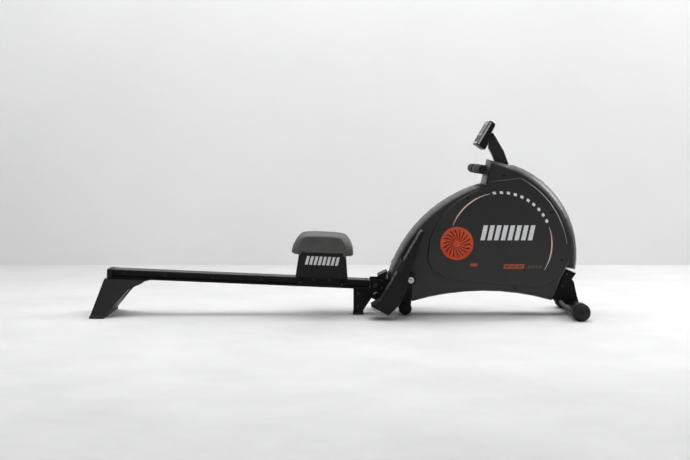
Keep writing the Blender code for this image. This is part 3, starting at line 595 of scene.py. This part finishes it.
# ---- Vent discs --------------------------------------------------------------------------------
def spiral_slot(turn):
    """A curved slot from near the hub to near the rim, wider outwards."""
    start, end, steps = 0.0125, 0.0512, 6
    left, right = [], []
    for i in range(steps + 1):
        share = i / steps
        r = start + (end - start) * share
        sweep = turn + radians(19) * share
        half = (0.00075 + 0.0015 * share) / r
        left.append((DRUM[0] + r * cos(sweep - half), DRUM[1] + r * sin(sweep - half)))
        right.append((DRUM[0] + r * cos(sweep + half), DRUM[1] + r * sin(sweep + half)))
    return left + right[::-1]


def vent_disc(name, side):
    """A pinwheel grille: a dished orange disc with curved slots through it."""
    face = PANEL_FACE
    profile = [
        (face + 0.0004, 0.0555), (face + 0.0004, 0.0620), (face + 0.0022, 0.0622),
        (face + 0.0032, 0.0610), (face + 0.0030, 0.0580), (face + 0.0018, 0.0540),
        (face + 0.0014, 0.0300), (face + 0.0018, 0.0115), (face + 0.0030, 0.0095),
        (face + 0.0034, 0.0075), (face + 0.0036, 0.0010), (face - 0.0030, 0.0010),
        (face - 0.0030, 0.0555),
    ]
    turned = bmesh.new()
    add_turned(turned, profile, DRUM, side, 64, closed=True)
    disc = finished(f"vent_disc_{name}", turned, "orange_plastic", None)
    slots = bmesh.new()
    for i in range(18):
        add_slab(slots, spiral_slot(radians(20 * i)), side * (face - 0.02), side * (face + 0.02))
    cutter = finished(f"vent_cutter_{name}", slots, "shade_black", None)
    change = disc.modifiers.new("slots", "BOOLEAN")
    change.operation = "DIFFERENCE"
    change.object = cutter
    apply_modifiers(disc)
    bpy.data.objects.remove(cutter)
    disc.data.shade_smooth()
    disc.data.set_sharp_from_angle(angle=radians(35))
    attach(disc, "frame")
    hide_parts(f"vent_cover_{name}")
    # Painted shade: a near-black disc behind the slots, where the housing's inside lies in shade.
    back = bmesh.new()
    add_turned(back, [(face - 0.0052, 0.0550), (face - 0.0040, 0.0550)], DRUM, side, 40)
    finished(f"vent_painted_shade_{name}", back, "shade_black", "frame")


# ---- Seat --------------------------------------------------------------------------------------
def rail_point(u, y, n):
    """A point given along the rail from its front end, across it, and up from its top face."""
    x = RAIL_FRONT[0] + u * cos(RAIL_SLOPE) + n * sin(RAIL_SLOPE)
    z = RAIL_FRONT[1] - u * sin(RAIL_SLOPE) + n * cos(RAIL_SLOPE)
    return (x, y, z)


# The cushion's front half in side view: along the rail from its middle, height over the rail.
CUSHION_VIEW = [
    (0.0870, 0.1040), (0.0960, 0.1030), (0.1005, 0.0885), (0.1175, 0.0925), (0.1108, 0.1190),
    (0.1060, 0.1310), (0.0980, 0.1470), (0.0905, 0.1565), (0.0760, 0.1620), (0.0350, 0.1640),
]
# Across the seat: distance from the middle, and the shares of length and of height there.
CUSHION_ROWS = (
    (0.1490, 0.77, 0.80), (0.1485, 0.78, 0.93), (0.1455, 0.79, 0.97), (0.1380, 0.82, 0.985),
    (0.1180, 0.91, 0.99), (0.0960, 0.98, 1.00), (0.0700, 1.00, 1.00), (0.0300, 1.00, 0.97),
    (0.0080, 1.00, 0.96),
)
CUSHION_BASE = 0.1010


def cushion_ring(y, squeeze, crown):
    view = CUSHION_VIEW + [(-u, n) for u, n in reversed(CUSHION_VIEW)]
    ring = []
    for u, n in view:
        height = CUSHION_BASE + (n - CUSHION_BASE) * crown
        ring.append(rail_point(SEAT_ALONG_RAIL + u * squeeze, y, height))
    return ring


def seat_cushion():
    """A moulded saddle: a raised pad with a skirt that folds down over the seat base."""
    rings = [cushion_ring(-y, squeeze, crown) for y, squeeze, crown in CUSHION_ROWS]
    rings += [cushion_ring(y, squeeze, crown) for y, squeeze, crown in reversed(CUSHION_ROWS)]
    bm = bmesh.new()
    add_loft(bm, rings)
    cushion = finished("cushion_skin", bm, "seat_skin", None, 80.0)
    remesh = cushion.modifiers.new("even mesh", "REMESH")
    remesh.mode = "VOXEL"
    remesh.voxel_size = 0.0042
    apply_modifiers(cushion)
    swell(cushion, pressure=4.0, limit=0.0030)
    smooth = cushion.modifiers.new("settle", "SMOOTH")
    smooth.factor = 0.5
    smooth.iterations = 2
    apply_modifiers(cushion)
    fine = cushion.modifiers.new("fine", "SUBSURF")
    fine.levels = 1
    fine.render_levels = 1
    apply_modifiers(cushion)
    cushion.data.shade_smooth()
    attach(cushion, "seat")
    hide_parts("seat_cushion")


def swell(piece, pressure, limit):
    """Inflates the piece as cloth, with no point moving further than the limit."""
    start = [v.co.copy() for v in piece.data.vertices]
    cloth = piece.modifiers.new("swell", "CLOTH")
    settings = cloth.settings
    settings.quality = 6
    settings.mass = 0.4
    settings.tension_stiffness = 25
    settings.compression_stiffness = 25
    settings.bending_stiffness = 4
    settings.use_pressure = True
    settings.uniform_pressure_force = pressure
    settings.effector_weights.gravity = 0
    scene = bpy.context.scene
    for number in range(1, 21):
        scene.frame_set(number)
    graph = bpy.context.evaluated_depsgraph_get()
    done = piece.evaluated_get(graph).data
    moved = [v.co.copy() for v in done.vertices]
    piece.modifiers.clear()
    for vertex, before, after in zip(piece.data.vertices, start, moved):
        step = after - before
        if step.length > limit:
            step *= limit / step.length
        vertex.co = before + step
    scene.frame_set(1)


def base_point(u, n, side, lift):
    """A point on the seat base's sloping side."""
    return rail_point(SEAT_ALONG_RAIL + u, side * (0.0720 + 0.30 * n + lift), n)


def seat_mark(name, side):
    """Plain slanted bars on the seat base."""
    bm = bmesh.new()
    for i in range(8):
        outline = slanted(-0.0640 + i * 0.0160, 0.0530, 0.0105, 0.0330)
        lifts = (0.00010, 0.00032)
        add_loft(bm, [[base_point(u, n, side, lift) for u, n in outline] for lift in lifts])
    finished(f"seat_print_{name}", bm, "ink_white", "seat")


# ---- Rail, carriage and legs -------------------------------------------------------------------
def rail_bolt(bm, u, n, side, base, radius, height):
    """A bolt on the side of the rail or the carriage, placed along the rail."""
    x, _, z = rail_point(u, 0.0, n)
    add_bolt(bm, (x, z), side, base, radius, height)


def rail_hardware():
    for name, side in SIDES:
        bm = bmesh.new()
        for u in (-0.930, -0.776, -0.594, -0.409):
            rail_bolt(bm, u, -0.017, side, 0.0259, 0.0060, 0.0022)
        finished(f"rail_bolts_{name}", bm, "black_oxide", "rail")
    screws = bmesh.new()
    head = ((-0.0002, 0.0045), (0.0010, 0.0045), (0.0016, 0.0030))
    for u in (-0.965, -0.012):
        for y in (-0.030, 0.030):
            add_upright(screws, head, rail_point(u, y, 0.0), 16)
    finished("rail_top_screws", screws, "black_oxide", "rail")


def carriage_hardware():
    for name, side in SIDES:
        bm = bmesh.new()
        for u in (-0.078, 0.078):
            rail_bolt(bm, SEAT_ALONG_RAIL + u, -0.017, side, 0.0546, 0.0050, 0.0020)
        for u in (-0.030, 0.030):
            rail_bolt(bm, SEAT_ALONG_RAIL + u, -0.004, side, 0.0494, 0.0055, 0.0030)
        finished(f"carriage_bolts_{name}", bm, "black_oxide", "seat")


def leg_hardware():
    bolt_set("mid_leg_bolts", MID_LEG_BOLTS, "rail")
    sole = bmesh.new()
    for i in range(5):
        x = -0.9130 + i * 0.0095
        rib = [(x, 0.0002), (x + 0.0044, 0.0002), (x + 0.0044, 0.0012), (x, 0.0012)]
        add_slab(sole, rib, -0.1500, 0.1500)
    finished("rear_sole_ribs", sole, "rubber", "rail")


# ---- Foot plates -------------------------------------------------------------------------------
PLATE_SPAN = (PLATE_END[0] - PLATE_START[0], PLATE_END[1] - PLATE_START[1])
PLATE_LENGTH = hypot(*PLATE_SPAN)
PLATE_DIRECTION = (PLATE_SPAN[0] / PLATE_LENGTH, PLATE_SPAN[1] / PLATE_LENGTH)


def on_plate(along, height):
    """A point over the foot plate, by distance up it and height off it."""
    run, rise = PLATE_DIRECTION
    x = PLATE_START[0] + along * run - height * rise
    z = PLATE_START[1] + along * rise + height * run
    return (x, z)


def plate_block(start, end, low, high, taper=0.0):
    """A block's outline on the foot plate, narrower at its top by the taper at each end."""
    corners = ((start, low), (end, low), (end - taper, high), (start + taper, high))
    return [on_plate(along, height) for along, height in corners]


def thickened(path, thick):
    """A closed outline: an open path, and the same path moved to its left by a thickness."""
    moved = []
    for i, (y, h) in enumerate(path):
        before, after = path[max(i - 1, 0)], path[min(i + 1, len(path) - 1)]
        run, rise = after[0] - before[0], after[1] - before[1]
        reach = hypot(run, rise)
        moved.append((y - rise / reach * thick, h + run / reach * thick))
    return path + moved[::-1]


def tread_ribs(name, side):
    ribs = bmesh.new()
    for i in range(14):
        along = 0.018 + i * 0.0192
        under_strap = 0.106 < along < 0.176
        if not under_strap:
            rib = plate_block(along, along + 0.0070, -0.0010, 0.0010, 0.0012)
            add_slab(ribs, rib, side * 0.1060, side * 0.2070)
    finished(f"tread_ribs_{name}", ribs, "rubber", f"pedal_{name}")


def toe_strap(name, side):
    """A strap that arches over the foot plate, with its ends in the plate's slots."""
    inner, outer, steps = 0.0962, 0.2168, 16
    path = []
    for i in range(steps + 1):
        y = inner + (outer - inner) * i / steps
        path.append((y, 0.0042 + 0.0045 * sin(pi * i / steps) ** 0.6))
    loop = [(inner + 0.0004, -0.0120)] + path + [(outer - 0.0004, -0.0120)]
    rings = []
    for along in (0.122, 0.166):
        places = [(*on_plate(along, h), side * y) for y, h in thickened(loop, 0.0016)]
        rings.append([(x, y, z) for x, z, y in places])
    strap = bmesh.new()
    add_loft(strap, rings)
    band = soften(finished(f"toe_strap_{name}", strap, "webbing", f"pedal_{name}"), 0.0004, 1)
    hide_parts(f"foot_strap_{name}")


def strap_buckle(name, side):
    buckle = bmesh.new()
    low, high = 0.0096, 0.0122
    for y in (0.1440, 0.1600):
        add_slab(buckle, plate_block(0.119, 0.169, low, high), side * y, side * (y + 0.0050))
    for along in (0.119, 0.1655):
        bar = plate_block(along, along + 0.0035, low, high)
        add_slab(buckle, bar, side * 0.1485, side * 0.1605)
    piece = finished(f"strap_buckle_{name}", buckle, "black_plastic", f"pedal_{name}")
    soften(piece, 0.0006)


# ---- Handle ------------------------------------------------------------------------------------
def handle_details():
    """Rings and a collar on each grip, the pull strap, and the clamp's screws."""
    for name, side in SIDES:
        rings = bmesh.new()
        for y in (0.0525, 0.0570, 0.0615):
            ring = [(y, 0.0171), (y + 0.0008, 0.0179), (y + 0.0022, 0.0179), (y + 0.0030, 0.0171)]
            add_turned(rings, ring, HANDLE, side, 28, closed=True)
        finished(f"grip_rings_{name}", rings, "grip_foam", "handle")
        collar = bmesh.new()
        ring = [(0.2084, 0.0155), (0.2088, 0.0171), (0.2108, 0.0171), (0.2112, 0.0155)]
        add_turned(collar, ring, HANDLE, side, 28, closed=True)
        finished(f"grip_collar_{name}", collar, "roller_nylon", "handle")
    strap = bmesh.new()
    low = IDLER[1] + 0.0088
    high = low + 0.0015
    start, end, steps = HANDLE[0] + 0.0150, IDLER[0], 12
    rings = []
    for i in range(steps + 1):
        x = start + (end - start) * i / steps
        rings.append([(x, -0.0125, low), (x, 0.0125, low), (x, 0.0125, high), (x, -0.0125, high)])
    add_loft(strap, rings)
    ribbon = finished("pull_strap", strap, "webbing", None)
    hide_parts("strap_outer")
    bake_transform(ribbon)
    screws = bmesh.new()
    head = ((0.0150, 0.0034), (0.0172, 0.0034), (0.0178, 0.0022))
    for y in (-0.016, 0.016):
        add_upright(screws, head, (HANDLE[0], y, HANDLE[1]), 12)
    finished("clamp_screws", screws, "zinc_steel", "handle")


# ---- Console -----------------------------------------------------------------------------------
INK = (-0.00050, -0.00042)
BEZEL = (-0.0010, 0.0004)
TRIM = (-0.0006, 0.0002)
SEGMENTS = {"0": "abcdef", "1": "bc", "2": "abged", "5": "afgcd", "8": "abcdefg"}


def face_point(along, y, depth):
    """A point up the console's face from its foot, across it, and into it."""
    run, rise = cos(CONSOLE_LEAN), sin(CONSOLE_LEAN)
    x = CONSOLE_FOOT[0] + along * run + depth * rise
    return (x, y, CONSOLE_FOOT[1] + along * rise - depth * run)


def add_face_block(bm, along, y, depth):
    rings = []
    for a in along:
        rings.append([
            face_point(a, y[0], depth[0]), face_point(a, y[1], depth[0]),
            face_point(a, y[1], depth[1]), face_point(a, y[0], depth[1]),
        ])
    add_loft(bm, rings)


def add_digit(bm, digit, along, y, size):
    """A seven-segment digit. Its left is at +Y, the rower's left."""
    wide, thick, half = size * 0.52, size * 0.13, size / 2
    full, left, right = (0, wide), (0, thick), (wide - thick, wide)
    bars = {
        "a": ((size - thick, size), full), "g": ((half - thick / 2, half + thick / 2), full),
        "d": ((0, thick), full), "f": ((half, size), left), "b": ((half, size), right),
        "e": ((0, half), left), "c": ((0, half), right),
    }
    gap = 0.0003
    for key in SEGMENTS[digit]:
        (a0, a1), (y0, y1) = bars[key]
        add_face_block(bm, (along + a0 + gap, along + a1 - gap), (y - y1, y - y0), INK)


def console_details():
    """The display with its digits and bars, the screen's bezel, and the silver trim."""
    ground = bmesh.new()
    add_face_block(ground, (0.0430, 0.0870), (-0.0500, 0.0500), (-0.00040, -0.00025))
    finished("lcd_ground", ground, "lcd_ground", "console")
    ink = bmesh.new()
    for i, digit in enumerate("0025"):
        past_colon = 0.004 if i > 1 else 0
        add_digit(ink, digit, 0.0660, 0.0370 - i * 0.0115 - past_colon, 0.0150)
    for along in (0.0690, 0.0755):
        add_face_block(ink, (along, along + 0.0018), (0.0132, 0.0150), INK)
    for i, digit in enumerate("128"):
        add_digit(ink, digit, 0.0475, 0.0370 - i * 0.0095, 0.0110)
    for i in range(8):
        across = (-0.0100 - i * 0.0045, -0.0068 - i * 0.0045)
        add_face_block(ink, (0.0475, 0.0500 + i * 0.0012), across, INK)
    finished("lcd_ink", ink, "lcd_ink", "console")
    rim = bmesh.new()
    for along in ((0.0355, 0.0375), (0.0925, 0.0945)):
        add_face_block(rim, along, (-0.0605, 0.0605), BEZEL)
    for y in ((-0.0605, -0.0585), (0.0585, 0.0605)):
        add_face_block(rim, (0.0375, 0.0925), y, BEZEL)
    soften(finished("screen_bezel", rim, "black_plastic", "console"), 0.0004, 1)
    trim = bmesh.new()
    for _, side in SIDES:
        flank = sorted((side * 0.0749, side * 0.0755))
        border = sorted((side * 0.0612, side * 0.0716))
        add_face_block(trim, (0.0035, 0.0965), flank, (0.0030, 0.0100))
        add_face_block(trim, (0.0035, 0.0965), border, TRIM)
    for along in ((0.0035, 0.0110), (0.0950, 0.0965)):
        add_face_block(trim, along, (-0.0608, 0.0608), TRIM)
    finished("console_trim", trim, "trim_silver", "console")


# ---- Front end, hinge and cross tube -----------------------------------------------------------
def front_details():
    bolt_set("front_bolts", FRONT_BOLTS, "frame")
    # Painted highlight: a thin light zinc strip along the bracket's top edge, standing in for
    # light falling on its black top face.
    painted_top_highlight = bmesh.new()
    strip = [(0.8503, 0.1766), (0.8915, 0.1579), (0.8921, 0.1593), (0.8509, 0.1780)]
    add_slab(painted_top_highlight, strip, -0.0590, 0.0590)
    finished("bracket_painted_top_highlight", painted_top_highlight, "zinc_steel", "frame")
    for name, side in SIDES:
        treads = bmesh.new()
        for y in (0.2268, 0.2318, 0.2368, 0.2410):
            ring = [(y, 0.0268), (y + 0.0006, 0.0281), (y + 0.0022, 0.0281), (y + 0.0028, 0.0268)]
            add_turned(treads, ring, WHEEL_AXLE, side, 36, closed=True)
        finished(f"wheel_ribs_{name}", treads, "rubber", f"wheel_{name}")
    bolt_set("hinge_bolts", HINGE_BOLTS, "frame")


def tube_details():
    plugs = bmesh.new()
    for _, side in SIDES:
        plug = [(0.0960, 0.0040), (0.0972, 0.0040), (0.0978, 0.0030)]
        add_turned(plugs, plug, CROSS_TUBE, side, 16)
    finished("tube_plugs", plugs, "black_plastic", "frame")


# ---- Room --------------------------------------------------------------------------------------
def room():
    """A pale floor, and a plain wall behind the machine."""
    bm = bmesh.new()
    corners = ((-6, -7), (6, -7), (6, 7), (-6, 7))
    add_loft(bm, [[(x, y, z) for x, y in corners] for z in (-0.0008, -0.02)])
    floor = finished("studio_floor", bm, "floor_paint", None)
    wall_mesh = bpy.data.meshes.new("studio_wall")
    corners = [(x, WALL_DISTANCE, z) for x, z in ((-6, -0.001), (6, -0.001), (6, 4.0), (-6, 4.0))]
    wall_mesh.from_pydata(corners, [], [(0, 1, 2, 3)])
    wall = bpy.data.objects.new("studio_wall", wall_mesh)
    bpy.context.collection.objects.link(wall)
    wall_mesh.materials.append(SURFACES["wall_paint"])


def area_light(name, location, aim, size, power):
    data = bpy.data.lights.new(name, "AREA")
    data.shape = "RECTANGLE"
    data.size, data.size_y = size
    data.energy = power
    lamp = bpy.data.objects.new(name, data)
    bpy.context.collection.objects.link(lamp)
    lamp.location = location
    lamp.rotation_euler = (Vector(aim) - Vector(location)).to_track_quat("-Z", "Y").to_euler()


def white_room():
    """A soft surround, bright from above and behind on the right, dim from the left and below."""
    world = bpy.data.worlds.new("white_room")
    world.use_nodes = True
    tree = world.node_tree
    direction = tree.nodes.new("ShaderNodeTexCoord").outputs["Generated"]
    facing = tree.nodes.new("ShaderNodeVectorMath")
    facing.operation = "DOT_PRODUCT"
    facing.inputs[1].default_value = (0.62, 0.50, 0.60)
    strength = tree.nodes.new("ShaderNodeMapRange")
    strength.inputs["From Min"].default_value = -1.0
    strength.inputs["From Max"].default_value = 1.0
    strength.inputs["To Min"].default_value = 0.0
    strength.inputs["To Max"].default_value = 0.28
    background = tree.nodes["Background"]
    background.inputs["Color"].default_value = (0.96, 0.98, 1.0, 1.0)
    tree.links.new(direction, facing.inputs[0])
    tree.links.new(facing.outputs["Value"], strength.inputs["Value"])
    tree.links.new(strength.outputs["Result"], background.inputs["Strength"])
    bpy.context.scene.world = world


def lights_and_camera():
    white_room()
    for light in LIGHTS:
        area_light(*light)
    data = bpy.data.cameras.new("camera")
    data.lens = CAMERA_LENS
    data.sensor_width = CAMERA_SENSOR
    camera = bpy.data.objects.new("camera", data)
    bpy.context.collection.objects.link(camera)
    camera.location = CAMERA_PLACE
    camera.rotation_euler = (CAMERA_PITCH, 0.0, 0.0)
    bpy.context.scene.camera = camera
    bpy.context.scene.view_settings.view_transform = "Standard"


dress_nodes()
for side_name, side_sign in SIDES:
    panel_edge(side_name, side_sign)
    side_graphics(side_name, side_sign)
    housing_screws(side_name, side_sign)
    vent_disc(side_name, side_sign)
    seat_mark(side_name, side_sign)
    tread_ribs(side_name, side_sign)
    toe_strap(side_name, side_sign)
    strap_buckle(side_name, side_sign)
seat_cushion()
rail_hardware()
carriage_hardware()
leg_hardware()
handle_details()
console_details()
front_details()
tube_details()
room()
lights_and_camera()
